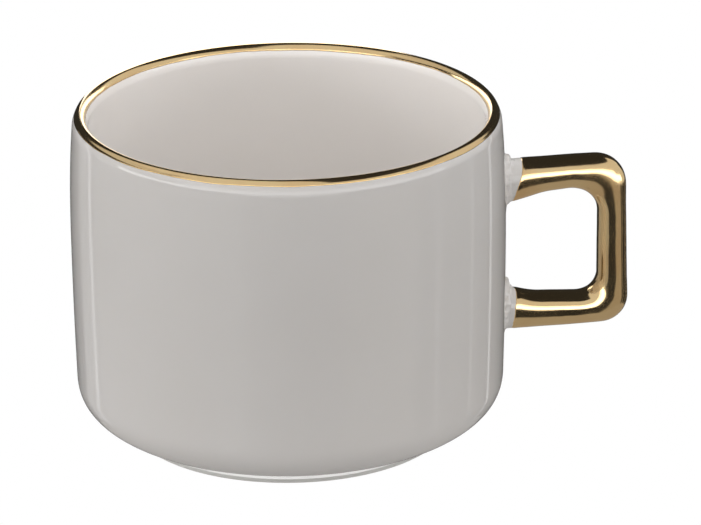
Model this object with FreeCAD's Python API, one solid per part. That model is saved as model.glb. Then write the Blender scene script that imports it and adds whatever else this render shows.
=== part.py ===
import FreeCAD, Part
import math
import os

# A porcelain teacup with a square loop handle, in millimetres.
# +Z is up, the cup's axis is Z, the handle points along +X, and the origin is the
# centre of the ring that the cup stands on.

# ---------------------------------------------------------------- driving dimensions
HEIGHT = 68.3            # foot to the crest of the glazed lip
CREST_R = 42.0           # radius of the lip's crest
BELLY_R = 44.5           # widest radius of the wall
BELLY_Z = 45.0
SHOULDER_R = 44.05       # wall radius where the bottom's bend begins
SHOULDER_Z = 11.6
SHOULDER_FULLNESS = 0.72 # how far the bottom's bend swells towards its corner
INNER_BELLY_R = 41.5
INNER_CORNER_R = 41.0    # inside radius where the inner corner begins
INNER_CORNER_Z = 15.0
FLOOR_R = 31.5           # radius of the inside floor
FLOOR_Z = 5.3            # inside floor at its middle
FLOOR_RISE = 0.4         # how much higher the floor is at its edge
LIP_HALF = 1.2           # half the lip's thickness where its rounding begins
LIP_BEND = 2.6           # how far under the crest the outside turns in to the lip
LIP_BEND_INSET = 0.8     # how far inside the belly's radius it is there
INNER_LIP_BEND = 3.1     # how far under the crest the inside begins to open
INNER_LIP_INSET = 1.45   # how far inside the crest's radius it is there

FOOT_R = 33.3            # outside of the foot ring
FOOT_Z = 2.05            # height of the foot ring, where the bottom meets it
FOOT_WIDTH = 4.6
FOOT_EDGE = 0.45         # rounding of the foot's two wear edges
RECESS_DEPTH = 2.5       # hollow under the cup, inside the foot ring

GLAZE = 0.3              # thickness of the glaze coat
RIM_GOLD = 0.08          # thickness of the gold on the lip
RIM_GOLD_OUTSIDE = 1.0   # how far the gold comes down outside the lip
RIM_GOLD_INSIDE = 1.35   # and inside it

# The handle is a bar of rounded section that follows a square loop in the XZ plane.
HANDLE_WIDTH = 7.2       # the bar's size along Y
HANDLE_ROUND = 2.2       # rounding of the bar's four long edges
HANDLE_GOLD = 0.12       # thickness of the gold on the handle
ROOT_X = 43.0            # the loop is drawn from inside the wall, and cut at the wall
# corners of the loop, clockwise from the upper root: x, z, radius of the rounding
HANDLE_OUTER = [(ROOT_X, 54.2, 0), (70.15, 54.5, 6.4), (71.0, 17.9, 5.6), (ROOT_X, 17.55, 0)]
HANDLE_INNER = [(ROOT_X, 27.2, 0), (50.5, 24.9, 18.0), (64.4, 24.1, 4.1),
                (64.4, 48.4, 6.0), (53.1, 47.5, 18.0), (ROOT_X, 44.7, 0)]
# where the gold starts at the two roots, from above the handle to below it: x, z
GOLD_START = [(48.3, 60.0), (48.3, 54.2), (46.2, 45.8), (46.2, 36.0),
              (46.9, 26.2), (46.2, 17.8), (46.2, 12.0)]
JOINT_SPREAD = 2.6       # how far the slip at a root spreads over the wall
JOINT_REACH = 1.5        # how far it reaches along the bar
JOINT_LIP = 0.15         # thickness of the slip where it ends on the bar
JOINT_SINK = 0.2         # how far the slip's spread lies under the widest wall
JOINT_OVERLAP = 2.0      # how far its blank runs on into the wall, to be cut off there
JOINT_STEPS = 5          # sections along its hollow flare
# lower and upper z of the bar at the wall
UPPER_ROOT = (45.15, 54.2)
LOWER_ROOT = (17.6, 26.6)

DEEP = 30.0              # more than any cut needs
SLAB = 1.0               # thickness of the blocks that sections are taken from
FINE = 1e-6              # smaller than any edge


# ---------------------------------------------------------------- profiles of revolution
class Node:
    """A point of a profile and the heading, in degrees, in which the profile passes it."""

    def __init__(self, r, z, heading):
        self.r = r
        self.z = z
        self.heading = heading

    def place(self):
        return FreeCAD.Vector(self.r, 0, self.z)

    def direction(self):
        turn = math.radians(self.heading)
        return FreeCAD.Vector(math.cos(turn), 0, math.sin(turn))

    def sunk(self, depth):
        """The same node on the surface that lies this deep under the profile."""
        along = self.direction()
        return Node(self.r - along.z * depth, self.z + along.x * depth, self.heading)


def bend(first, last, fullness=None):
    """A cubic curve from one node to the next, tangent to both headings."""
    start, end = first.place(), last.place()
    leave, arrive = first.direction(), last.direction()
    turn = math.radians(abs(last.heading - first.heading))
    if fullness is None:
        fullness = 4 / 3 * math.tan(turn / 4) / math.tan(turn / 2)
    # the distances from both ends to the corner where the two tangents cross
    across = end - start
    spread = leave.x * arrive.z - leave.z * arrive.x
    out = (across.x * arrive.z - across.z * arrive.x) / spread
    back = (across.x * leave.z - across.z * leave.x) / spread
    curve = Part.BezierCurve()
    curve.setPoles([start, start + leave * out * fullness, end + arrive * back * fullness, end])
    return curve.toShape()


def straight(*places):
    """Straight edges through these places."""
    return [Part.makeLine(a, b) for a, b in zip(places, places[1:])]


def spun(edges):
    """The solid that a closed profile sweeps in one turn about the cup's axis."""
    face = Part.Face(Part.Wire(Part.__sortEdges__(edges)))
    return face.revolve(FreeCAD.Vector(0, 0, 0), FreeCAD.Vector(0, 0, 1), 360)


def outer_nodes():
    """The finished outside, from the foot up to where the gold band begins."""
    return [
        Node(FOOT_R, FOOT_Z, 15),
        Node(SHOULDER_R, SHOULDER_Z, 88.4),
        Node(BELLY_R, BELLY_Z, 90),
        Node(BELLY_R - LIP_BEND_INSET, HEIGHT - LIP_BEND, 95),
        Node(CREST_R + LIP_HALF, HEIGHT - RIM_GOLD_OUTSIDE, 118),
    ]


def lip_nodes():
    """The finished lip under the gold, from outside to inside."""
    return [
        outer_nodes()[-1],
        Node(CREST_R, HEIGHT, 180),
        Node(CREST_R - LIP_HALF, HEIGHT - RIM_GOLD_INSIDE, 254.7),
    ]


def inner_nodes():
    """The finished inside, from the gold band down to the middle of the floor."""
    return [
        lip_nodes()[-1],
        Node(CREST_R - INNER_LIP_INSET, HEIGHT - INNER_LIP_BEND, 276),
        Node(INNER_BELLY_R, BELLY_Z, 270),
        Node(INNER_CORNER_R, INNER_CORNER_Z, 268.4),
        Node(FLOOR_R, FLOOR_Z + FLOOR_RISE, 183),
        Node(0, FLOOR_Z, 180),
    ]


def wall_curve(depth):
    """The cup's whole surface in section, from the foot to the floor's middle, this deep in it."""
    nodes = outer_nodes() + lip_nodes()[1:] + inner_nodes()[1:]
    sunk = [node.sunk(depth) for node in nodes]
    edges = [bend(sunk[0], sunk[1], SHOULDER_FULLNESS)]
    edges += [bend(a, b) for a, b in zip(sunk[1:], sunk[2:])]
    return edges, sunk[0].place(), sunk[-1].place()


# ---------------------------------------------------------------- the cup
def full_cup(depth):
    """The cup with no inside, as a cutter: all that its outer surface encloses at this depth."""
    sunk = [node.sunk(depth) for node in outer_nodes()]
    edges = [bend(sunk[0], sunk[1], SHOULDER_FULLNESS)]
    edges += [bend(a, b) for a, b in zip(sunk[1:], sunk[2:])]
    low, high = sunk[0].place(), sunk[-1].place()
    edges += straight(high, FreeCAD.Vector(0, 0, high.z), FreeCAD.Vector(0, 0, low.z), low)
    return spun(edges)


def cup_body():
    """The biscuit wall and floor, with the upper part of the recess in its underside."""
    edges, foot, floor = wall_curve(GLAZE)
    recess_r = FOOT_R - FOOT_WIDTH
    edges += straight(
        floor,
        FreeCAD.Vector(0, 0, RECESS_DEPTH),
        FreeCAD.Vector(recess_r, 0, RECESS_DEPTH),
        FreeCAD.Vector(recess_r, 0, FOOT_Z),
        FreeCAD.Vector(foot.x, 0, FOOT_Z),
        foot,
    )
    return spun(edges)


def foot_ring():
    """The turned foot, with its two wear edges rounded."""
    outside = FOOT_R
    inside = FOOT_R - FOOT_WIDTH
    corner = FOOT_EDGE * math.sin(math.pi / 4)
    short = FOOT_EDGE - corner
    edges = straight(
        FreeCAD.Vector(outside, 0, FOOT_EDGE),
        FreeCAD.Vector(outside, 0, FOOT_Z),
        FreeCAD.Vector(inside, 0, FOOT_Z),
        FreeCAD.Vector(inside, 0, FOOT_EDGE),
    )
    edges += straight(FreeCAD.Vector(inside + FOOT_EDGE, 0, 0), FreeCAD.Vector(outside - FOOT_EDGE, 0, 0))
    edges.append(Part.Arc(
        FreeCAD.Vector(outside - FOOT_EDGE, 0, 0),
        FreeCAD.Vector(outside - short, 0, short),
        FreeCAD.Vector(outside, 0, FOOT_EDGE)).toShape())
    edges.append(Part.Arc(
        FreeCAD.Vector(inside, 0, FOOT_EDGE),
        FreeCAD.Vector(inside + short, 0, short),
        FreeCAD.Vector(inside + FOOT_EDGE, 0, 0)).toShape())
    return spun(edges)


def glaze_coat():
    """The coat on the wall: up the outside, over the lip and down the inside, as one skin."""
    skin, foot, floor = wall_curve(0)
    under, foot_under, floor_under = wall_curve(GLAZE)
    edges = skin + under + straight(foot, foot_under) + straight(floor, floor_under)
    coat = spun(edges)
    for root in (joint_blank(UPPER_ROOT), joint_blank(LOWER_ROOT), handle_bar(HANDLE_GOLD)):
        coat = coat.cut(root)
    return coat


def recess_glaze():
    """The coat on the underside, inside the foot ring."""
    return Part.makeCylinder(FOOT_R - FOOT_WIDTH, GLAZE, FreeCAD.Vector(0, 0, RECESS_DEPTH - GLAZE))


def rim_gilding():
    """The gold band that wraps the lip."""
    over = [node.sunk(-RIM_GOLD) for node in lip_nodes()]
    under = lip_nodes()
    edges = [bend(a, b) for a, b in zip(over, over[1:])]
    edges += [bend(a, b) for a, b in zip(under, under[1:])]
    edges += straight(over[0].place(), under[0].place()) + straight(over[-1].place(), under[-1].place())
    return spun(edges)


# ---------------------------------------------------------------- the handle
def inset_corners(corners, depth):
    """A closed clockwise outline moved inwards by a depth, with its roundings kept parallel."""
    moved = []
    for index, (x, z, radius) in enumerate(corners):
        before = corners[index - 1]
        after = corners[(index + 1) % len(corners)]
        into = FreeCAD.Vector(x - before[0], 0, z - before[1]).normalize()
        away = FreeCAD.Vector(after[0] - x, 0, after[1] - z).normalize()
        # a clockwise outline has its inside on the right of its heading
        turn = into.x * away.z - into.z * away.x
        half = math.sqrt((1 + into.dot(away)) / 2)
        inward = (FreeCAD.Vector(into.z + away.z, 0, -into.x - away.x)).normalize()
        place = FreeCAD.Vector(x, 0, z) + inward * (depth / half)
        parallel = radius + (depth if turn > 0 else -depth)
        moved.append((place.x, place.z, parallel if radius else 0))
    return moved


def rounded_wire(corners, y):
    """A closed wire through these corners, each rounded by a tangent arc of its own radius."""
    starts, ends, middles = [], [], []
    for index, (x, z, radius) in enumerate(corners):
        here = FreeCAD.Vector(x, y, z)
        before = corners[index - 1]
        after = corners[(index + 1) % len(corners)]
        into = (here - FreeCAD.Vector(before[0], y, before[1])).normalize()
        away = (FreeCAD.Vector(after[0], y, after[1]) - here).normalize()
        half_turn = into.getAngle(away) / 2
        back = radius * math.tan(half_turn)
        starts.append(here - into * back)
        ends.append(here + away * back)
        outward = (into - away).normalize()
        middles.append(here - outward * (radius / math.cos(half_turn) - radius))
    edges = []
    for index, (x, z, radius) in enumerate(corners):
        if radius:
            edges.append(Part.Arc(starts[index], middles[index], ends[index]).toShape())
        edges.append(Part.makeLine(ends[index], starts[(index + 1) % len(corners)]))
    return Part.Wire(edges)


def handle_bar(depth):
    """The whole loop as drawn, this deep under its finished surface, still running into the wall."""
    corners = inset_corners(HANDLE_OUTER + HANDLE_INNER, depth)
    half = HANDLE_WIDTH / 2 - depth
    bar = Part.Face(rounded_wire(corners, -half)).extrude(FreeCAD.Vector(0, 2 * half, 0))
    root = min(x for x, z, radius in corners)
    long_edges = [
        edge for edge in bar.Edges
        if abs(abs(edge.BoundBox.YMin) - half) < FINE
        and edge.BoundBox.YLength < FINE
        and edge.BoundBox.XMax > root + SLAB
    ]
    return bar.makeFillet(HANDLE_ROUND - depth, long_edges)


def handle():
    """The cast porcelain loop, up to the wall that it is stuck to."""
    return handle_bar(HANDLE_GOLD).cut(full_cup(GLAZE))


def gilded_zone():
    """A block that holds all of the handle from where its gold starts."""
    far = BELLY_R + 2 * DEEP
    corners = GOLD_START + [(far, GOLD_START[-1][1]), (far, GOLD_START[0][1])]
    outline = [FreeCAD.Vector(x, -DEEP, z) for x, z in corners]
    face = Part.Face(Part.makePolygon(outline + outline[:1]))
    return face.extrude(FreeCAD.Vector(0, 2 * DEEP, 0))


def handle_gilding():
    """The gold skin round the loop, open at both roots."""
    return handle_bar(0).cut(handle_bar(HANDLE_GOLD)).common(gilded_zone())


# ---------------------------------------------------------------- the slip at the roots
def section_wire(x, root, growth):
    """The bar's section at a root, grown on all sides, as a closed wire across X."""
    low, high = root[0] - growth, root[1] + growth
    half = HANDLE_WIDTH / 2 + growth
    radius = HANDLE_ROUND + growth
    block = Part.makeBox(SLAB, 2 * half, high - low, FreeCAD.Vector(x, -half, low))
    along_x = [edge for edge in block.Edges if edge.BoundBox.XLength > SLAB / 2]
    block = block.makeFillet(radius, along_x)
    ends = [face for face in block.Faces if face.BoundBox.XMax < x + FINE]
    return ends[0].OuterWire


def joint_blank(root):
    """The slip's hollow cone, filled: wide on the wall, and thin where it ends on the bar."""
    wall_x = BELLY_R - JOINT_SINK
    wires = [section_wire(wall_x - JOINT_OVERLAP, root, JOINT_SPREAD)]
    for step in range(JOINT_STEPS + 1):
        part_way = step / JOINT_STEPS
        dip = 1 - math.sqrt(1 - (1 - part_way) ** 2)
        growth = JOINT_LIP + (JOINT_SPREAD - JOINT_LIP) * dip
        wires.append(section_wire(wall_x + JOINT_REACH * part_way, root, growth))
    return Part.makeLoft(wires, True, True)


def joint(root):
    """The luting slip round one root, between the wall and the bar."""
    return joint_blank(root).cut(full_cup(GLAZE)).cut(handle_bar(HANDLE_GOLD))


# ---------------------------------------------------------------- the parts
def main():
    os.makedirs("parts", exist_ok=True)
    parts = {
        "cup_body": cup_body(),
        "foot_ring": foot_ring(),
        "handle": handle(),
        "upper_joint": joint(UPPER_ROOT),
        "lower_joint": joint(LOWER_ROOT),
        "glaze_coat": glaze_coat(),
        "recess_glaze": recess_glaze(),
        "rim_gilding": rim_gilding(),
        "handle_gilding": handle_gilding(),
    }
    for name, shape in parts.items():
        solids = shape.Solids
        box = shape.BoundBox
        print(name, "solids", len(solids), "valid", shape.isValid(), "mm3", round(shape.Volume, 1),
              "x", round(box.XMin, 2), round(box.XMax, 2), "z", round(box.ZMin, 2), round(box.ZMax, 2))
        solid = solids[0] if len(solids) == 1 else Part.makeCompound(solids)
        solid.exportStep("parts/" + name + ".step")


main()
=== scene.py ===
import math

import bpy
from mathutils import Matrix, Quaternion, Vector, noise


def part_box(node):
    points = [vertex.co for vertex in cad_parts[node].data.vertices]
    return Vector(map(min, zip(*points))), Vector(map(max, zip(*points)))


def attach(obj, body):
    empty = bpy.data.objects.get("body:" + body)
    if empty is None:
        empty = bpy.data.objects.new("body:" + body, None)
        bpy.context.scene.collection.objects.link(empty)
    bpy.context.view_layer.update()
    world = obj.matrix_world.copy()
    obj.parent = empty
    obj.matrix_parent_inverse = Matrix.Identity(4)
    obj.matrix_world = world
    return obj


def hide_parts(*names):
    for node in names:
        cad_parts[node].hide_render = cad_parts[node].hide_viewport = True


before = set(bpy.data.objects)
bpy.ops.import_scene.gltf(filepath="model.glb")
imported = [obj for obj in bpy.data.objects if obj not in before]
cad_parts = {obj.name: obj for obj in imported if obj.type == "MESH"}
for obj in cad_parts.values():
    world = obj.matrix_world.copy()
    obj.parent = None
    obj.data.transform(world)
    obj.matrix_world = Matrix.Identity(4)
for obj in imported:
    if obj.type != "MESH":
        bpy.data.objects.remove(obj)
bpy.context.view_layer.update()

# The looks of a porcelain teacup with gold on its lip and on its square handle.
# Shapes are worked out in millimetres, in the frame's own axes, and made in metres.
MM = 0.001
ON_AXIS = 1e-6              # a profile's point nearer the axis than this is a pole


# ------------------------------------------------------------------ driving dimensions
def corner_mm(node, side):
    """A corner of a CAD node's box, in millimetres: side 0 is the lowest, 1 the highest."""
    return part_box(node)[side] / MM


glaze_high = corner_mm("glaze_coat", 1)
gilding_high = corner_mm("handle_gilding", 1)
foot_high = corner_mm("foot_ring", 1)

HEIGHT = glaze_high.z                       # crest of the glazed lip
BELLY_R = min(glaze_high.x, glaze_high.y)   # widest radius of the wall
BELLY_Z = 45.0
CREST_R = BELLY_R - 2.5
SHOULDER_R = BELLY_R - 0.45
SHOULDER_Z = 11.6
SHOULDER_FULLNESS = 0.72
INNER_BELLY_R = BELLY_R - 3.0
INNER_CORNER_R = BELLY_R - 3.5
INNER_CORNER_Z = 15.0
FLOOR_R = 31.5
FLOOR_Z = 5.3
FLOOR_RISE = 0.4
FOOT_R = min(foot_high.x, foot_high.y)
FOOT_Z = foot_high.z
FOOT_WIDTH = 4.6
FOOT_ROUNDING = 0.6                         # of the wear face's two edges
POOL_DEPTH = 1.05                           # how far the pooled glaze, and the highlight painted on it, comes down the foot
OVERLAP = 0.02                              # how far pieces that touch run into one another
RECESS_DEPTH = corner_mm("recess_glaze", 1).z
GLAZE = 0.3
UNEVENNESS = 0.035                          # scale of the cast wall's waver

RIM_GOLD_OUTSIDE = 1.0                      # how far the gold comes down outside the lip
RIM_GOLD_INSIDE = 1.35
GOLD_FILM = 0.04                            # gold above the glaze, at the middle of a band
GOLD_BEDDING = 0.02                         # and below it, so that no two surfaces share a plane

HANDLE_TOP = gilding_high.z
HANDLE_END = gilding_high.x
HANDLE_BOTTOM = corner_mm("handle_gilding", 0).z
HANDLE_HALF_WIDTH = gilding_high.y
PORCELAIN_INSET = 0.04                      # how far the porcelain under the gold is set in
HANDLE_BEDDING = 0.055                      # how far the gold's inner side is under the bar's surface
ROOT_X = 42.6                               # inside the wall
SECTION_POWER = 2.3                         # 2 is an ellipse, and more is squarer
BAR_CROWN = 0.2                             # how much the level bars are swollen above and below

SEGMENTS = 288                              # round the cup
HANDLE_STATIONS = 260                       # along the loop
HANDLE_AROUND = 96                          # round its bar


# ------------------------------------------------------------------ small helpers
def ripple(place, size, seed):
    """Smooth noise from -1 to 1 with features of this size in millimetres."""
    return noise.noise(Vector(place) / size + Vector((seed, -seed, seed * 0.5)))


def turning_ripple(angle, lobes, seed):
    """Smooth noise from -1 to 1 that closes on itself after one turn."""
    return noise.noise(Vector((lobes * math.cos(angle), lobes * math.sin(angle), seed)))


def mix(a, b, share):
    """The number at a share of the way from a to b."""
    return a + (b - a) * share


def smooth_step(low, high, value):
    """0 below low, 1 above high, and a soft slope between."""
    share = min(max((value - low) / (high - low), 0.0), 1.0)
    return share * share * (3 - 2 * share)


def make_piece(name, places, faces, material, nodes):
    """A smooth mesh piece of the cup, in metres, that stands for CAD nodes and rides on the body."""
    mesh = bpy.data.meshes.new(name)
    mesh.from_pydata([Vector(place) * MM for place in places], [], faces)
    mesh.validate()
    mesh.polygons.foreach_set("use_smooth", [True] * len(mesh.polygons))
    mesh.materials.append(material)
    piece = bpy.data.objects.new(name, mesh)
    bpy.context.scene.collection.objects.link(piece)
    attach(piece, "root")
    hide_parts(*nodes)
    return piece


def grid_faces(rows, columns, closed_rows, closed_columns):
    """Quads over a grid of vertices numbered row by row."""
    faces = []
    for row in range(rows if closed_rows else rows - 1):
        below = (row + 1) % rows
        for column in range(columns if closed_columns else columns - 1):
            beside = (column + 1) % columns
            faces.append((
                row * columns + column,
                row * columns + beside,
                below * columns + beside,
                below * columns + column,
            ))
    return faces


# ------------------------------------------------------------------ profiles of revolution
class Node:
    """A point of a profile and the heading, in degrees, in which the profile passes it."""

    def __init__(self, r, z, heading):
        self.place = Vector((r, z))
        self.heading = heading

    def direction(self):
        turn = math.radians(self.heading)
        return Vector((math.cos(turn), math.sin(turn)))

    def sunk(self, depth):
        along = self.direction()
        return Node(self.place.x - along.y * depth, self.place.y + along.x * depth, self.heading)


def bend(first, last, steps, fullness=None):
    """Points of a cubic curve from one node up to, but not at, the next. Its fullness is how far its
    handles reach toward the corner where the two headings meet: by default as for a circle's arc."""
    leave, arrive = first.direction(), last.direction()
    turn = math.radians(abs(last.heading - first.heading))
    if fullness is None:
        fullness = 4 / 3 * math.tan(turn / 4) / math.tan(turn / 2)
    across = last.place - first.place
    spread = leave.x * arrive.y - leave.y * arrive.x
    out = (across.x * arrive.y - across.y * arrive.x) / spread * fullness
    back = (across.x * leave.y - across.y * leave.x) / spread * fullness
    near, far = first.place + leave * out, last.place + arrive * back
    points = []
    for step in range(steps):
        t = step / steps
        s = 1 - t
        ends = first.place * s ** 3 + last.place * t ** 3
        points.append(ends + near * 3 * s * s * t + far * 3 * s * t * t)
    return points


def outer_nodes():
    """The finished outside, from the foot up to where the gold band begins."""
    return [
        Node(FOOT_R, FOOT_Z, 15),
        Node(SHOULDER_R, SHOULDER_Z, 88.4),
        Node(BELLY_R, BELLY_Z, 90),
        Node(BELLY_R - 0.8, HEIGHT - 2.6, 95),
        Node(CREST_R + 1.2, HEIGHT - RIM_GOLD_OUTSIDE, 118),
    ]


def lip_nodes():
    """The finished lip under the gold, from outside to inside."""
    return [
        outer_nodes()[-1],
        Node(CREST_R, HEIGHT, 180),
        Node(CREST_R - 1.2, HEIGHT - RIM_GOLD_INSIDE, 254.7),
    ]


def inner_nodes():
    """The finished inside, from the gold band down to the middle of the floor."""
    return [
        lip_nodes()[-1],
        Node(CREST_R - 1.45, HEIGHT - 3.1, 276),
        Node(INNER_BELLY_R, BELLY_Z, 270),
        Node(INNER_CORNER_R, INNER_CORNER_Z, 268.4),
        Node(FLOOR_R, FLOOR_Z + FLOOR_RISE, 183),
        Node(0, FLOOR_Z, 180),
    ]


# steps along each stretch of the wall: the outside, the lip, and the inside down to the floor's middle
OUTER_STEPS = (26, 14, 12, 6)
LIP_STEPS = (14, 12)
INNER_STEPS = (8, 12, 14, 22, 14)


def wall_points(depth):
    """The cup's whole surface in section at this depth, from the foot to the floor's middle."""
    nodes = outer_nodes() + lip_nodes()[1:] + inner_nodes()[1:]
    sunk = [node.sunk(depth) for node in nodes]
    points = []
    for index, steps in enumerate(OUTER_STEPS + LIP_STEPS + INNER_STEPS):
        fullness = SHOULDER_FULLNESS if index == 0 else None
        points += bend(sunk[index], sunk[index + 1], steps, fullness)
    return points + [sunk[-1].place]


def wall_radius(z):
    """The finished outside's radius at a height, for what sits on the wall."""
    outside = wall_points(0)[:sum(OUTER_STEPS)]
    for low, high in zip(outside, outside[1:]):
        if low.y <= z <= high.y:
            return mix(low.x, high.x, (z - low.y) / (high.y - low.y))
    return BELLY_R


def out_of_round(angle, z):
    """How far a cast wall falls inside its true circle, in millimetres. It is never outside it."""
    broad = turning_ripple(angle, 1.1, 3.7 + z * 0.012)
    fine = turning_ripple(angle, 3.0, 9.1 + z * 0.03)
    return -UNEVENNESS * (1.4 + broad + 0.4 * fine) * smooth_step(3.0, 14.0, z)


def spin(loop, closed):
    """Vertices and faces of a profile in one turn. A closed loop meets itself, and a point on the axis
    is a pole."""
    places, faces, rows = [], [], []
    for point in loop:
        if point.x < ON_AXIS:
            rows.append([len(places)] * SEGMENTS)
            places.append((0, 0, point.y))
            continue
        row = []
        for segment in range(SEGMENTS):
            angle = 2 * math.pi * segment / SEGMENTS
            r = point.x + out_of_round(angle, point.y)
            row.append(len(places))
            places.append((r * math.cos(angle), r * math.sin(angle), point.y))
        rows.append(row)
    pairs = list(zip(rows, rows[1:]))
    if closed:
        pairs.append((rows[-1], rows[0]))
    for low, high in pairs:
        for segment in range(SEGMENTS):
            beside = (segment + 1) % SEGMENTS
            quad = (low[segment], low[beside], high[beside], high[segment])
            face = tuple(dict.fromkeys(quad))
            if len(face) > 2:
                faces.append(face)
    return places, faces


# ------------------------------------------------------------------ materials
def new_material(name):
    """A node material, with its node tree and its shader."""
    material = bpy.data.materials.new(name)
    material.use_nodes = True
    tree = material.node_tree
    shader = tree.nodes["Principled BSDF"]
    return material, tree, shader


def add(tree, kind, **settings):
    """A node with its properties and input defaults set. An input is named with spaces as underscores."""
    node = tree.nodes.new(kind)
    for key, value in settings.items():
        if hasattr(node, key):
            setattr(node, key, value)
        else:
            node.inputs[key.replace("_", " ")].default_value = value
    return node


def ramp(tree, source, stops):
    """A colour ramp with these stops: position, colour."""
    node = tree.nodes.new("ShaderNodeValToRGB")
    elements = node.color_ramp.elements
    while len(elements) < len(stops):
        elements.new(0.5)
    for element, (position, colour) in zip(elements, stops):
        element.position = position
        element.color = (*colour, 1)
    tree.links.new(source, node.inputs["Fac"])
    return node.outputs["Color"]


def grey(value):
    return (value, value, value)


def object_place(tree, scale=(1, 1, 1)):
    """The place on the object in metres, stretched by a scale."""
    coordinates = tree.nodes.new("ShaderNodeTexCoord")
    mapping = tree.nodes.new("ShaderNodeMapping")
    mapping.inputs["Scale"].default_value = scale
    tree.links.new(coordinates.outputs["Object"], mapping.inputs["Vector"])
    return mapping.outputs["Vector"]


def noise_texture(tree, place, scale, detail=3.0, roughness=0.5):
    """The height, from 0 to 1, of a noise with this many features to the metre."""
    node = add(tree, "ShaderNodeTexNoise", Scale=scale, Detail=detail, Roughness=roughness)
    tree.links.new(place, node.inputs["Vector"])
    return node.outputs["Fac"]


def blend_colours(tree, share, first, second):
    """A colour node output between two colours, or outputs, by a share."""
    node = tree.nodes.new("ShaderNodeMix")
    node.data_type = "RGBA"
    for socket, value in (("A", first), ("B", second)):
        target = [i for i in node.inputs if i.name == socket and i.type == "RGBA"][0]
        if isinstance(value, tuple):
            target.default_value = (*value, 1)
        else:
            tree.links.new(value, target)
    tree.links.new(share, node.inputs[0])
    return [o for o in node.outputs if o.type == "RGBA"][0]


def above_height(tree, place, low, high):
    """A mask that is 0 under the height low and 1 over the height high, in millimetres."""
    split = tree.nodes.new("ShaderNodeSeparateXYZ")
    tree.links.new(place, split.inputs["Vector"])
    mask = add(tree, "ShaderNodeMapRange", interpolation_type="SMOOTHSTEP")
    mask.inputs["From Min"].default_value = low * MM
    mask.inputs["From Max"].default_value = high * MM
    tree.links.new(split.outputs["Z"], mask.inputs["Value"])
    return mask.outputs["Result"]


def bump(tree, heights, shader):
    """Bumps one after another: each height output with its strength and its distance in metres."""
    normal = None
    for height, strength, distance in heights:
        node = add(tree, "ShaderNodeBump", Strength=strength, Distance=distance)
        tree.links.new(height, node.inputs["Height"])
        if normal:
            tree.links.new(normal, node.inputs["Normal"])
        normal = node.outputs["Normal"]
    tree.links.new(normal, shader.inputs["Normal"])


GLAZE_COLOUR = (0.680, 0.650, 0.625)
GLAZE_DEEP = (0.650, 0.618, 0.590)          # where the glaze is thicker
SPECK_COLOUR = (0.42, 0.38, 0.34)
FOOT_GLAZE_COLOUR = (0.66, 0.65, 0.62)
POOL_PAINTED_HIGHLIGHT = (0.97, 0.96, 0.94)            # painted highlight: glaze pooled in the corner over the foot, made near white to show as a bright line
BISCUIT_PALE = (0.66, 0.63, 0.59)
BISCUIT_DARK = (0.46, 0.42, 0.37)           # dirt rubbed into the wear face
GOLD_COLOUR = (0.86, 0.64, 0.34)
GOLD_RED = (0.80, 0.54, 0.27)               # the redder bloom


def speck_mask(tree, place):
    """A mask of small specks that come only here and there."""
    cells = add(tree, "ShaderNodeTexVoronoi", Scale=230.0, Randomness=1.0)
    tree.links.new(place, cells.inputs["Vector"])
    spots = ramp(tree, cells.outputs["Distance"], [(0.0, grey(1)), (0.055, grey(0))])
    rarely = ramp(tree, noise_texture(tree, place, 60.0, 1.0), [(0.62, grey(0)), (0.70, grey(0.5))])
    both = tree.nodes.new("ShaderNodeMath")
    both.operation = "MULTIPLY"
    tree.links.new(spots, both.inputs[0])
    tree.links.new(rarely, both.inputs[1])
    return both.outputs["Value"]


def glaze_material(name, tint=(1, 1, 1), lumps=0.0):
    """Glossy white glaze: faint clouding where it is thicker, rare specks, and a soft orange-peel
    surface. Lumps is the strength of the small ridges of wiped slip under it."""
    material, tree, shader = new_material(name)
    shader.inputs["IOR"].default_value = 1.5
    shader.inputs["Subsurface Weight"].default_value = 0.08
    shader.inputs["Subsurface Radius"].default_value = (0.0012, 0.0010, 0.0008)
    shader.inputs["Subsurface Scale"].default_value = 1.0
    place = object_place(tree)
    light = tuple(c * t for c, t in zip(GLAZE_COLOUR, tint))
    deep = tuple(c * t for c, t in zip(GLAZE_DEEP, tint))
    cloud = noise_texture(tree, place, 22.0, 4.0)
    clouding = ramp(tree, cloud, [(0.30, grey(0)), (0.72, grey(1))])
    base = blend_colours(tree, clouding, light, deep)
    colour = blend_colours(tree, speck_mask(tree, place), base, SPECK_COLOUR)
    tree.links.new(colour, shader.inputs["Base Color"])
    gloss = ramp(tree, noise_texture(tree, place, 90.0, 3.0), [(0.25, grey(0.04)), (0.8, grey(0.085))])
    tree.links.new(gloss, shader.inputs["Roughness"])
    heights = [
        (noise_texture(tree, place, 45.0, 2.0), 0.20, 0.0002),
        (noise_texture(tree, place, 700.0, 2.0), 0.10, 0.00002),
    ]
    if lumps:
        heights.append((noise_texture(tree, place, 420.0, 3.0, 0.6), lumps, 0.00015))
    bump(tree, heights, shader)
    return material


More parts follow.
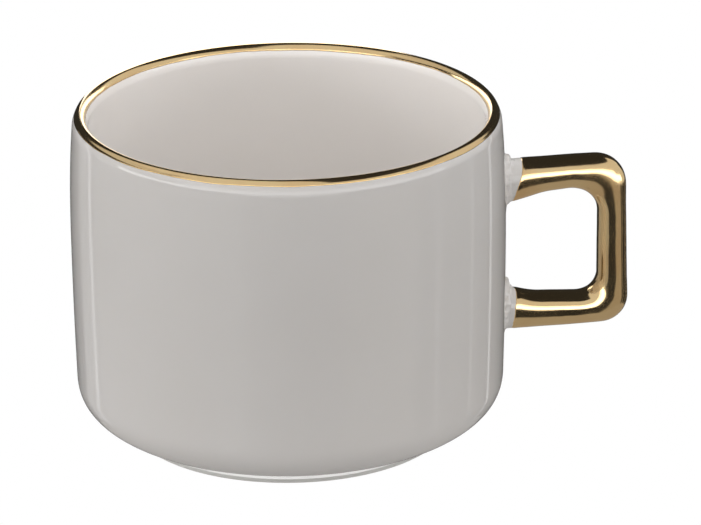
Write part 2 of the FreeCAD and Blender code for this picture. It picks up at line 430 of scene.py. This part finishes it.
def foot_material():
    """The foot ring: glaze pooled at the top of its side and painted near white there as a highlight, plain
    glaze under that, and bare, dry and a little rubbed where it stands."""
    material, tree, shader = new_material("foot_glaze_and_biscuit")
    place = object_place(tree)
    glazed = above_height(tree, place, 0.18, 0.32)
    # painted highlight: over this band at the top of the foot the glaze is made near white, and it has a
    # clear coat
    pool_painted_highlight = above_height(tree, place, FOOT_Z - POOL_DEPTH - 0.08, FOOT_Z - POOL_DEPTH)
    grain = noise_texture(tree, place, 1500.0, 4.0, 0.7)
    biscuit = ramp(tree, grain, [(0.3, (0.56, 0.53, 0.49)), (0.6, BISCUIT_PALE), (0.8, BISCUIT_DARK)])
    glaze = blend_colours(tree, pool_painted_highlight, FOOT_GLAZE_COLOUR, POOL_PAINTED_HIGHLIGHT)
    tree.links.new(blend_colours(tree, glazed, biscuit, glaze), shader.inputs["Base Color"])
    tree.links.new(pool_painted_highlight, shader.inputs["Coat Weight"])
    dryness = ramp(tree, glazed, [(0.0, grey(0.75)), (1.0, grey(0.10))])
    tree.links.new(dryness, shader.inputs["Roughness"])
    bump(tree, [(grain, 0.25, 0.00004)], shader)
    return material


def biscuit_material():
    """Unglazed porcelain, as it is under the glaze."""
    material, tree, shader = new_material("biscuit_porcelain")
    place = object_place(tree)
    grain = noise_texture(tree, place, 1200.0, 5.0, 0.65)
    cloud = noise_texture(tree, place, 30.0, 3.0)
    fine = ramp(tree, grain, [(0.3, (0.60, 0.57, 0.54)), (0.7, (0.68, 0.66, 0.63))])
    colour = blend_colours(tree, cloud, fine, (0.63, 0.60, 0.57))
    tree.links.new(colour, shader.inputs["Base Color"])
    rough = ramp(tree, grain, [(0.2, grey(0.6)), (0.8, grey(0.8))])
    tree.links.new(rough, shader.inputs["Roughness"])
    bump(tree, [(grain, 0.3, 0.00005)], shader)
    return material


def gold_material(name, streak_scale):
    """Fired bright gold: a mirror with a slow waver, faint brush streaks, and a redder bloom in places.
    The streaks are squeezed along each axis by the streak scale."""
    material, tree, shader = new_material(name)
    shader.inputs["Metallic"].default_value = 1.0
    place = object_place(tree)
    streaks = noise_texture(tree, object_place(tree, streak_scale), 60.0, 3.0, 0.55)
    bloom = noise_texture(tree, place, 120.0, 3.0)
    share = ramp(tree, bloom, [(0.42, grey(0)), (0.75, grey(0.8))])
    tree.links.new(blend_colours(tree, share, GOLD_COLOUR, GOLD_RED), shader.inputs["Base Color"])
    rough = ramp(tree, streaks, [(0.25, grey(0.09)), (0.8, grey(0.20))])
    tree.links.new(rough, shader.inputs["Roughness"])
    bump(tree, [
        (noise_texture(tree, place, 180.0, 2.0), 0.10, 0.0001),
        (streaks, 0.08, 0.00004),
    ], shader)
    return material


# ------------------------------------------------------------------ the cup
def make_cup_body(material):
    """The biscuit wall and floor, with the upper part of the recess in its underside."""
    recess_r = FOOT_R - FOOT_WIDTH
    loop = wall_points(GLAZE)
    underside = [(0, RECESS_DEPTH), (recess_r, RECESS_DEPTH), (recess_r, FOOT_Z), (loop[0].x, FOOT_Z)]
    loop += [Vector(point) for point in underside]
    places, faces = spin(loop, True)
    return make_piece("cup_body_biscuit", places, faces, material, ["cup_body"])


def make_glaze_coat(material):
    """The glaze as one closed skin, from the foot over the lip and down to the middle of the floor."""
    skin = wall_points(0)
    under = wall_points(GLAZE - 0.01)
    places, faces = spin(skin + under[::-1], True)
    return make_piece("wall_glaze", places, faces, material, ["glaze_coat"])


def rounded_corner(corner, start, end, steps):
    """Points of a soft turn from start to end round a corner."""
    points = []
    for step in range(steps + 1):
        t = step / steps
        points.append(start * (1 - t) ** 2 + corner * 2 * t * (1 - t) + end * t * t)
    return points


def make_foot_ring(material):
    """The turned foot: a leaning band of pooled glaze under the body, an upright side, and a wear face
    with rounded edges."""
    inside = FOOT_R - FOOT_WIDTH
    top = FOOT_Z + OVERLAP
    pool_low = FOOT_Z - POOL_DEPTH
    loop = [
        Vector((FOOT_R - 0.25, top)),
        Vector((FOOT_R - 0.245, FOOT_Z)),
        Vector((FOOT_R - 0.13, FOOT_Z - 0.5)),
    ]
    loop += rounded_corner(
        Vector((FOOT_R, pool_low - 0.05)),
        Vector((FOOT_R - 0.02, pool_low + 0.03)),
        Vector((FOOT_R, pool_low - 0.2)),
        8,
    )
    loop += rounded_corner(
        Vector((FOOT_R - 0.02, 0)),
        Vector((FOOT_R, FOOT_ROUNDING - 0.05)),
        Vector((FOOT_R - FOOT_ROUNDING, 0)),
        10,
    )
    loop += rounded_corner(
        Vector((inside, 0)),
        Vector((inside + FOOT_ROUNDING, 0)),
        Vector((inside, FOOT_ROUNDING)),
        10,
    )
    loop += [
        Vector((inside, FOOT_Z - OVERLAP)),
        Vector((inside + 1, top)),
        Vector((FOOT_R - 1, top)),
    ]
    places, faces = spin(loop[::-1], True)
    return make_piece("foot_ring_turned", places, faces, material, ["foot_ring"])


def make_recess_glaze(material):
    """The glaze under the cup, which turns down a little where it meets the foot."""
    edge = FOOT_R - FOOT_WIDTH
    low = RECESS_DEPTH - GLAZE
    loop = [Vector((0, low + 0.1)), Vector((edge / 2, low + 0.05))]
    loop += rounded_corner(
        Vector((edge - 0.1, low)),
        Vector((edge - 1.4, low)),
        Vector((edge - 0.05, low - 0.5)),
        8,
    )
    loop += [Vector((edge - OVERLAP, RECESS_DEPTH - 0.05)), Vector((0, RECESS_DEPTH - OVERLAP))]
    places, faces = spin(loop, False)
    faces = [face[::-1] for face in faces]
    return make_piece("recess_glaze_patch", places, faces, material, ["recess_glaze"])


def lip_curve(depth):
    """Close-set points over the lip, from below the gold outside to below it inside."""
    nodes = [outer_nodes()[-2]] + lip_nodes() + [inner_nodes()[1]]
    sunk = [node.sunk(depth) for node in nodes]
    points = []
    for first, last in zip(sunk, sunk[1:]):
        points += bend(first, last, 40)
    return points


def along(points, t):
    """The place at a share of a list of points."""
    at = t * (len(points) - 1)
    index = min(int(at), len(points) - 2)
    return points[index].lerp(points[index + 1], at - index)


# The band lies between these shares of the lip's curve, and its edges waver by this share.
BAND_START, BAND_END = 0.25, 0.75
BAND_WAVER = 0.014
BAND_THINNING = 0.12        # share of the band's width over which it thins out at an edge


def band_edge(angle, share, seeds, lobes):
    """Where an edge of the band lies at this angle: a broad waver and a finer one."""
    broad, fine = [turning_ripple(angle, count, seed) for count, seed in zip(lobes, seeds)]
    return share + BAND_WAVER * broad + BAND_WAVER * 0.4 * fine


def make_rim_gilding(material):
    """The gold band over the lip, banded by hand: its edges waver, and it thins out at both."""
    top = lip_curve(-GOLD_FILM)
    bed = lip_curve(GOLD_BEDDING)
    across = 26
    places = []
    for segment in range(SEGMENTS):
        angle = 2 * math.pi * segment / SEGMENTS
        start = band_edge(angle, BAND_START, (1.3, 4.4), (5.0, 19.0))
        end = band_edge(angle, BAND_END, (7.9, 2.2), (4.0, 17.0))
        ring = []
        for step in range(across + 1):
            share = step / across
            t = mix(start, end, share)
            body = smooth_step(0, BAND_THINNING, share) * smooth_step(0, BAND_THINNING, 1 - share)
            ring.append(along(bed, t).lerp(along(top, t), mix(0.45, 1, body)))
        for step in range(across, -1, -1):
            ring.append(along(bed, mix(start, end, step / across)))
        for point in ring:
            r = point.x + out_of_round(angle, point.y)
            places.append((r * math.cos(angle), r * math.sin(angle), point.y))
    faces = grid_faces(SEGMENTS, 2 * across + 2, True, True)
    return make_piece("rim_gold_band", places, faces, material, ["rim_gilding"])


# ------------------------------------------------------------------ the handle
# The loop's outline in the XZ plane, clockwise from the upper root: x, z, radius of the rounding.
HANDLE_OUTER = [
    (ROOT_X, HANDLE_TOP - 0.25, 0),
    (HANDLE_END - 0.73, HANDLE_TOP + 0.05, 6.4),
    (HANDLE_END + 0.12, HANDLE_BOTTOM + 0.31, 5.6),
    (ROOT_X, HANDLE_BOTTOM - 0.04, 0),
]
GAP_X = HANDLE_END - 6.48                   # the finger gap's far side
GAP_TOP = HANDLE_TOP - 6.05
GAP_BOTTOM = HANDLE_BOTTOM + 6.5
HANDLE_INNER = [
    (ROOT_X, GAP_TOP - 3.7, 0),
    (53.1, GAP_TOP - 0.9, 18.0),
    (GAP_X, GAP_TOP, 6.0),
    (GAP_X, GAP_BOTTOM, 4.1),
    (50.5, GAP_BOTTOM + 0.8, 18.0),
    (ROOT_X, GAP_BOTTOM + 3.1, 0),
]
# the points that the bar's sections fan out from at the two corners
UPPER_FAN = Vector((GAP_X - 4.6, GAP_TOP - 4.6))
LOWER_FAN = Vector((GAP_X - 3.9, GAP_BOTTOM + 3.9))


def rounded_path(corners, steps):
    """Points along a path whose corners are rounded by tangent arcs."""
    path = [Vector(corners[0][:2])]
    for before, here, after in zip(corners, corners[1:], corners[2:]):
        corner, radius = Vector(here[:2]), here[2]
        into = (corner - Vector(before[:2])).normalized()
        away = (Vector(after[:2]) - corner).normalized()
        turn = into.angle(away)
        start = corner - into * radius * math.tan(turn / 2)
        side = Vector((-into.y, into.x))
        if into.x * away.y < into.y * away.x:
            side = -side
        centre = start + side * radius
        for step in range(steps + 1):
            swing = turn * step / steps
            path.append(centre - side * radius * math.cos(swing) + into * radius * math.sin(swing))
    path.append(Vector(corners[-1][:2]))
    return path


def crossing(origin, direction, path):
    """Where a ray first crosses a path."""
    side = Vector((-direction.y, direction.x))
    best = None
    for a, b in zip(path, path[1:]):
        near, far = (a - origin).dot(side), (b - origin).dot(side)
        if near * far > 0 or near == far:
            continue
        place = a.lerp(b, near / (near - far))
        distance = (place - origin).dot(direction)
        if distance > 0 and (best is None or distance < best[0]):
            best = (distance, place)
    return best[1]


def handle_rays():
    """Rays across the bar: each an origin in the finger gap and a heading in degrees."""
    bar = HANDLE_STATIONS // 4
    turn = HANDLE_STATIONS // 8
    root = ROOT_X + 0.01
    rays = [(Vector((mix(root, UPPER_FAN.x, step / bar), UPPER_FAN.y)), 90) for step in range(bar)]
    rays += [(UPPER_FAN, 90 - 90 * step / turn) for step in range(turn)]
    rays += [(UPPER_FAN.lerp(LOWER_FAN, step / bar), 0) for step in range(bar)]
    rays += [(LOWER_FAN, -90 * step / turn) for step in range(turn)]
    rays += [(Vector((mix(LOWER_FAN.x, root, step / bar), LOWER_FAN.y)), -90) for step in range(bar + 1)]
    return rays


def handle_stations():
    """Pairs of outline points, outer and inner, from the upper root round the loop to the lower root."""
    outer = rounded_path(HANDLE_OUTER, 24)
    inner = rounded_path(HANDLE_INNER, 24)
    stations = []
    for origin, heading in handle_rays():
        turn = math.radians(heading)
        direction = Vector((math.cos(turn), math.sin(turn)))
        stations.append((crossing(origin, direction, outer), crossing(origin, direction, inner)))
    return stations


STATIONS = handle_stations()


def bar_slack(place, uprightness):
    """How far the cast bar's surface falls inside its true shape. It is never outside it."""
    coarse = ripple(place, 4.5, 11.0) - 1
    fine = ripple(place, 1.8, 5.0) - 1
    return 0.040 * coarse + 0.010 * fine - 0.06 * uprightness


def handle_place(share, angle, lift):
    """A place on the bar: a share of the way round the loop, an angle round the section, and a lift in
    millimetres above the surface. Angle 0 is on the +Y side, and 90 degrees is on the loop's outside."""
    at = min(max(share, 0.0), 1.0) * (len(STATIONS) - 1)
    index = min(int(at), len(STATIONS) - 2)
    outer = STATIONS[index][0].lerp(STATIONS[index + 1][0], at - index)
    inner = STATIONS[index][1].lerp(STATIONS[index + 1][1], at - index)
    middle = (outer + inner) / 2
    up = (outer - inner) / 2
    half_height = up.length
    up = up / half_height
    half_height += BAR_CROWN * abs(up.y)
    c, s = math.cos(angle), math.sin(angle)
    wide = abs(c / HANDLE_HALF_WIDTH) ** SECTION_POWER
    tall = abs(s / half_height) ** SECTION_POWER
    reach = (wide + tall) ** (-1 / SECTION_POWER)
    flat = middle + up * s * reach
    place = Vector((flat.x, c * reach, flat.y))
    outward = Vector((up.x * s, c, up.y * s)).normalized()
    return place + outward * (lift + bar_slack(place, abs(up.x)))


def handle_share_at(x, lower):
    """The share of the way round the loop at which the upper or the lower bar passes this x."""
    count = len(STATIONS) - 1
    order = range(count, 0, -1) if lower else range(count)
    index = next(index for index in order if STATIONS[index][0].x >= x)
    other = min(max(index + 1 if lower else index - 1, 0), count)
    here, there = STATIONS[index][0].x, STATIONS[other][0].x
    if here == there:
        return index / count
    return mix(index, other, (here - x) / (here - there)) / count


def make_handle(material):
    """The cast porcelain loop, closed inside the wall at both roots. Nothing mirrors it."""
    places = []
    for station in range(HANDLE_STATIONS + 1):
        for step in range(HANDLE_AROUND):
            angle = 2 * math.pi * step / HANDLE_AROUND
            places.append(handle_place(station / HANDLE_STATIONS, angle, -PORCELAIN_INSET))
    faces = grid_faces(HANDLE_STATIONS + 1, HANDLE_AROUND, False, True)
    faces.append(tuple(range(HANDLE_AROUND))[::-1])
    first = HANDLE_STATIONS * HANDLE_AROUND
    faces.append(tuple(range(first, first + HANDLE_AROUND)))
    faces = [face[::-1] for face in faces]
    loop = make_piece("handle_loop", places, faces, material, ["handle"])
    loop.visible_glossy = False
    return loop


# where the gold starts along the bars: x above the bar and x below it
UPPER_GOLD = (48.4, 46.1)
LOWER_GOLD = (47.0, 46.1)


def gold_edge(angle, lower):
    """The share at which the gold starts or ends at this angle round the bar, with a hand-cut waver."""
    above, below = LOWER_GOLD if lower else UPPER_GOLD
    upness = math.sin(angle) * (-1 if lower else 1)
    x = mix(below, above, 0.5 + 0.5 * upness)
    x += 0.16 * turning_ripple(angle, 1.3, 6.1 if lower else 2.9) + 0.06 * turning_ripple(angle, 5.0, 8.8)
    return handle_share_at(x, lower)


def make_handle_gilding(material):
    """The gold round the loop: a thin closed skin that ends at a wavering edge at both roots, where it
    thins out. Nothing mirrors it, neither the glaze nor the gold itself."""
    thinning = 0.012            # share of its length over which it thins out at an end
    places = []
    for outside in (True, False):
        for station in range(HANDLE_STATIONS + 1):
            share = station / HANDLE_STATIONS
            if not outside:
                share = 1 - share
            thin = smooth_step(0, thinning, share) * smooth_step(0, thinning, 1 - share)
            lift = mix(-0.03, GOLD_FILM, thin) if outside else -HANDLE_BEDDING
            for step in range(HANDLE_AROUND):
                angle = 2 * math.pi * step / HANDLE_AROUND
                start, end = gold_edge(angle, False), gold_edge(angle, True)
                places.append(handle_place(mix(start, end, share), angle, lift))
    faces = grid_faces(2 * (HANDLE_STATIONS + 1), HANDLE_AROUND, True, True)
    faces = [face[::-1] for face in faces]
    skin = make_piece("handle_gold_skin", places, faces, material, ["handle_gilding"])
    skin.visible_glossy = False
    return skin


# ------------------------------------------------------------------ the slip at the roots
def slip_swell(place, swing, above, seed):
    """How far the wiped slip stands out, in millimetres: lumps of two sizes, and a peak over the bar."""
    lumps = 0.32 * ripple(place, 1.5, seed) + 0.12 * ripple(place, 0.6, seed + 2)
    peak = 0.75 * above ** 3 * math.sin(2 * swing) ** 4
    return math.sin(2 * swing) * lumps + peak


def slip_section(on_bar, outward, wide, long, above, seed):
    """One section of the slip, closed on itself: the flare from the wall to the bar, then back through
    the wall and along inside the bar."""
    steps = 16
    ring = []
    for step in range(steps + 1):
        swing = math.pi / 2 * step / steps
        away = wide * (1 - math.cos(swing))
        y = on_bar.y + outward.y * away
        z = on_bar.z + outward.z * away
        wall_x = math.sqrt(wall_radius(z) ** 2 - y * y)
        place = Vector((wall_x + long * (1 - math.sin(swing)), y, z))
        swell = slip_swell(place, swing, above, seed)
        sink = 0.05 * smooth_step(0.9, 1.0, step / steps)
        ring.append(place + outward * swell + Vector((swell - sink, 0, 0)))
    ring.append(ring[-1] - Vector((0.4, 0, 0)))
    inner = on_bar - outward * 0.5
    ring.append(Vector((ring[-1].x, inner.y, inner.z)))
    ring.append(Vector((ring[0].x - 0.2, inner.y, inner.z)))
    return ring


def make_joint(name, node, lower, spread, reach, seed, material):
    """Hand-wiped slip round one root: a hollow flare from the bar to the wall, lumpy all round.
    Spread over the wall and reach along the bar are each given above the bar, beside it and below it."""
    around = 150
    root_z = HANDLE_BOTTOM + 4 if lower else HANDLE_TOP - 4
    wall_share = handle_share_at(wall_radius(root_z), lower)
    station = STATIONS[round(wall_share * (len(STATIONS) - 1))]
    middle = (station[0].y + station[1].y) / 2
    places = []
    for turn in range(around):
        angle = 2 * math.pi * turn / around
        on_bar = handle_place(wall_share, angle, 0)
        outward = Vector((0, on_bar.y, on_bar.z - middle)).normalized()
        above, below = max(outward.z, 0) ** 2, max(-outward.z, 0) ** 2
        shares = (above, 1 - above - below, below)
        wide = sum(size * share for size, share in zip(spread, shares))
        long = sum(size * share for size, share in zip(reach, shares))
        wide_waver = 0.22 * turning_ripple(angle, 1.6, seed) + 0.14 * turning_ripple(angle, 4.5, seed + 5)
        long_waver = 0.22 * turning_ripple(angle, 2.2, seed + 9) + 0.12 * turning_ripple(angle, 7.0, seed + 3)
        wide, long = wide * (1 + wide_waver), long * (1 + long_waver)
        section = slip_section(on_bar, outward, wide, long, above, seed)
        places += section
    faces = grid_faces(around, len(section), True, True)
    return make_piece(name, places, faces, material, [node])


# ------------------------------------------------------------------ the studio
VIEW_AZIMUTH, VIEW_ELEVATION, VIEW_ROLL = -8.0, 21.2, -0.48        # degrees
VIEW_DISTANCE = 1.0                         # metres from the cup's middle
VIEW_LENS = 250.3                           # millimetres, on a 36 mm wide sensor
AIM_RIGHT, AIM_UP = 0.01262, 0.0005         # metres from the cup's middle, across the view
LIT_PLACE = Vector((0, 0, 0.04))            # what the lamps face, near the cup's middle
WARM = (1, 0.93, 0.84)
PALE_WARM = (1, 0.95, 0.90)


def stage_sheet(name, corners, colour, strength, sees, faces=None):
    """A sheet of the studio: its corners in metres, its colour, its light, and which rays see it.
    A sheet that glows is black otherwise."""
    mesh = bpy.data.meshes.new(name)
    mesh.from_pydata(corners, [], faces or [tuple(range(len(corners)))])
    sheet = bpy.data.objects.new(name, mesh)
    bpy.context.scene.collection.objects.link(sheet)
    material, _, shader = new_material(name)
    shader.inputs["Base Color"].default_value = (*(grey(0) if strength else colour), 1)
    shader.inputs["Roughness"].default_value = 1.0
    shader.inputs["Specular IOR Level"].default_value = 0.0
    shader.inputs["Emission Color"].default_value = (*colour, 1)
    shader.inputs["Emission Strength"].default_value = strength
    mesh.materials.append(material)
    sheet.visible_camera = "camera" in sees
    sheet.visible_diffuse = "diffuse" in sees
    sheet.visible_glossy = "glossy" in sees
    sheet.visible_transmission = False
    sheet.visible_shadow = "shadow" in sees
    return sheet


def square(half, z):
    """The corners of a level square, in metres."""
    return [(-half, -half, z), (half, -half, z), (half, half, z), (-half, half, z)]


def disc(radius, z):
    """The corners of a level disc, in metres."""
    corners = 64
    turns = [math.tau * corner / corners for corner in range(corners)]
    return [(radius * math.cos(turn), radius * math.sin(turn), z) for turn in turns]


def toward(azimuth, elevation):
    """The direction at these degrees. Azimuth 0 is -Y, where the cup faces, and 90 is +X, its handle."""
    a, e = math.radians(azimuth), math.radians(elevation)
    return Vector((math.sin(a) * math.cos(e), -math.cos(a) * math.cos(e), math.sin(e)))


def glow_patch(name, azimuths, elevations, distance, strength, colour=(1, 1, 1), sees=("glossy",)):
    """A glowing card curved round the cup, between two azimuths and two elevations."""
    across, rows = 24, 9
    corners = []
    for row in range(rows):
        elevation = mix(*elevations, row / (rows - 1))
        for step in range(across):
            corners.append(tuple(toward(mix(*azimuths, step / (across - 1)), elevation) * distance))
    return stage_sheet(name, corners, colour, strength, sees, grid_faces(rows, across, False, False))


def area_light(name, azimuth, elevation, distance, size, power):
    """A soft rectangular light that faces the cup. Mirrors do not show it."""
    light = bpy.data.lights.new(name, "AREA")
    light.shape = "RECTANGLE"
    light.size, light.size_y = size
    light.energy = power
    lamp = bpy.data.objects.new(name, light)
    bpy.context.scene.collection.objects.link(lamp)
    back = toward(azimuth, elevation)
    lamp.location = LIT_PLACE + back * distance
    lamp.rotation_mode = "QUATERNION"
    lamp.rotation_quaternion = (-back).to_track_quat("-Z", "Y")
    lamp.visible_camera = False
    lamp.visible_glossy = False
    return lamp


def make_backdrop():
    """A pale floor and surround for the camera, and the soft light that they give back."""
    stage_sheet("floor", square(30, -0.0002), (1, 1, 1), 1.0, ("camera",))
    for azimuth in range(0, 360, 30):
        azimuths = (azimuth, azimuth + 30)
        glow_patch(f"surround_{azimuth}", azimuths, (-2, 50), 20, 1.0, sees=("camera",))
        glow_patch(f"surround_top_{azimuth}", azimuths, (50, 89.9), 20, 1.0, sees=("camera",))
    stage_sheet("floor_bounce", square(30, -0.0004), grey(0.32), 0.0, ("diffuse", "shadow"))
    stage_sheet("floor_light", disc(0.09, -0.0003), (1, 1, 1), 0.46, ("diffuse",))
    world = bpy.data.worlds.new("surround")
    world.use_nodes = True
    background = world.node_tree.nodes["Background"]
    background.inputs["Color"].default_value = (1, 1, 1, 1)
    background.inputs["Strength"].default_value = 0.80
    world.cycles_visibility.glossy = False
    bpy.context.scene.world = world


# What the gold and the glaze mirror: light in front, dim light under, and dark overhead and behind.
# Each card has a name, two azimuths and two elevations in degrees, a distance in metres, a strength,
# and a colour where it is not white. A nearer card hides a farther one.
MIRRORED_CARDS = [
    ("front_bright", (-66, 56), (-6, 17), 1.3, 2.3),
    ("front_hot", (-105, 80), (-2, 9), 1.25, 3.2),
    ("front_mid", (-75, 128), (17, 48), 1.3, 0.72),
    ("front_over_the_lip", (-110, 15), (50, 86), 0.25, 0.72),
    ("left_high", (-142, -78), (22, 60), 1.3, 0.6),
    ("right_low", (56, 118), (-8, 17), 1.3, 0.7),
    ("right_floor", (19, 62), (-34, -8), 1.3, 0.36, WARM),
    ("right_line_1", (74, 77), (-34, -8), 1.25, 0.45),
    ("right_line_2", (102, 104), (-34, 4), 1.25, 0.55),
    ("right_line_3", (123.5, 125.5), (-34, 4), 1.25, 1.2),
    ("left_floor", (-150, -31), (-34, 2), 1.3, 0.38),
    ("left_line", (-136, -133), (-34, 4), 1.25, 1.2),
    ("under", (0, 360), (-88, -33), 1.3, 0.38, PALE_WARM),
    ("dark_ceiling", (0, 360), (-34, 89), 1.5, 0.030),
]


def make_card_behind():
    """A glowing strip just behind the cup, which the far side of the lip mirrors."""
    left, right, y, low, high = -0.042, 0.034, 0.058, 0.062, 0.086
    corners = [(left, y, low), (right, y, low), (right, y, high), (left, y, high)]
    stage_sheet("behind_the_cup", corners, (1, 1, 1), 2.6, ("glossy",))


def make_studio():
    """Even light from all round, with a little more from both sides, from overhead and into the cup.
    Lamps are given by azimuth and elevation in degrees, distance and size in metres, and watts."""
    make_backdrop()
    for card in MIRRORED_CARDS:
        glow_patch(*card)
    make_card_behind()
    area_light("into_the_cup", 0, 90, 0.041, (0.055, 0.055), 0.0118)
    area_light("overhead", VIEW_AZIMUTH, 80, 1.2, (0.5, 0.5), 3.0)
    area_light("low_left", -78, 10, 1.3, (1.0, 0.3), 4.1)
    area_light("low_right", 64, 8, 1.3, (0.8, 0.3), 2.4)


def make_camera():
    """The photograph's viewpoint: a long lens, above the cup and a little to one side of its front."""
    camera = bpy.data.objects.new("camera", bpy.data.cameras.new("camera"))
    bpy.context.scene.collection.objects.link(camera)
    camera.data.lens = VIEW_LENS
    camera.data.sensor_width = 36.0
    camera.data.clip_start = 0.05
    camera.data.clip_end = 100
    back = toward(VIEW_AZIMUTH, VIEW_ELEVATION)
    azimuth = math.radians(VIEW_AZIMUTH)
    right = Vector((math.cos(azimuth), math.sin(azimuth), 0))
    centre = Vector((0, 0, HEIGHT / 2 * MM))
    camera.location = centre + back * VIEW_DISTANCE
    aim = centre + right * AIM_RIGHT + back.cross(right) * AIM_UP
    towards = (aim - camera.location).to_track_quat("-Z", "Y")
    camera.rotation_mode = "QUATERNION"
    camera.rotation_quaternion = towards @ Quaternion((0, 0, 1), math.radians(VIEW_ROLL))
    bpy.context.scene.camera = camera


# ------------------------------------------------------------------ put together
def main():
    glaze = glaze_material("white_glaze")
    # painted highlight: the slip and the handle's glaze are the wall's glaze made a little lighter and bluer,
    # so that the roots look brighter
    slip = glaze_material("slip_under_glaze_painted_lighter", tint=(1.06, 1.07, 1.08), lumps=0.5)
    handle_glaze_painted_lighter = glaze_material("handle_glaze_painted_lighter", tint=(1.04, 1.05, 1.06), lumps=0.15)
    make_cup_body(biscuit_material())
    make_glaze_coat(glaze)
    make_recess_glaze(glaze)
    make_foot_ring(foot_material())
    make_rim_gilding(gold_material("rim_gold", (1, 1, 6)))
    make_handle(handle_glaze_painted_lighter)
    make_handle_gilding(gold_material("handle_gold", (1, 4, 1)))
    make_joint("upper_slip_joint", "upper_joint", False, (1.5, 2.6, 3.6), (2.4, 1.5, 1.0), 1.7, slip)
    make_joint("lower_slip_joint", "lower_joint", True, (2.0, 2.6, 4.0), (2.0, 1.4, 1.0), 6.3, slip)
    make_studio()
    make_camera()
    scene = bpy.context.scene
    scene.view_settings.view_transform = "Standard"
    scene.view_settings.look = "None"


main()
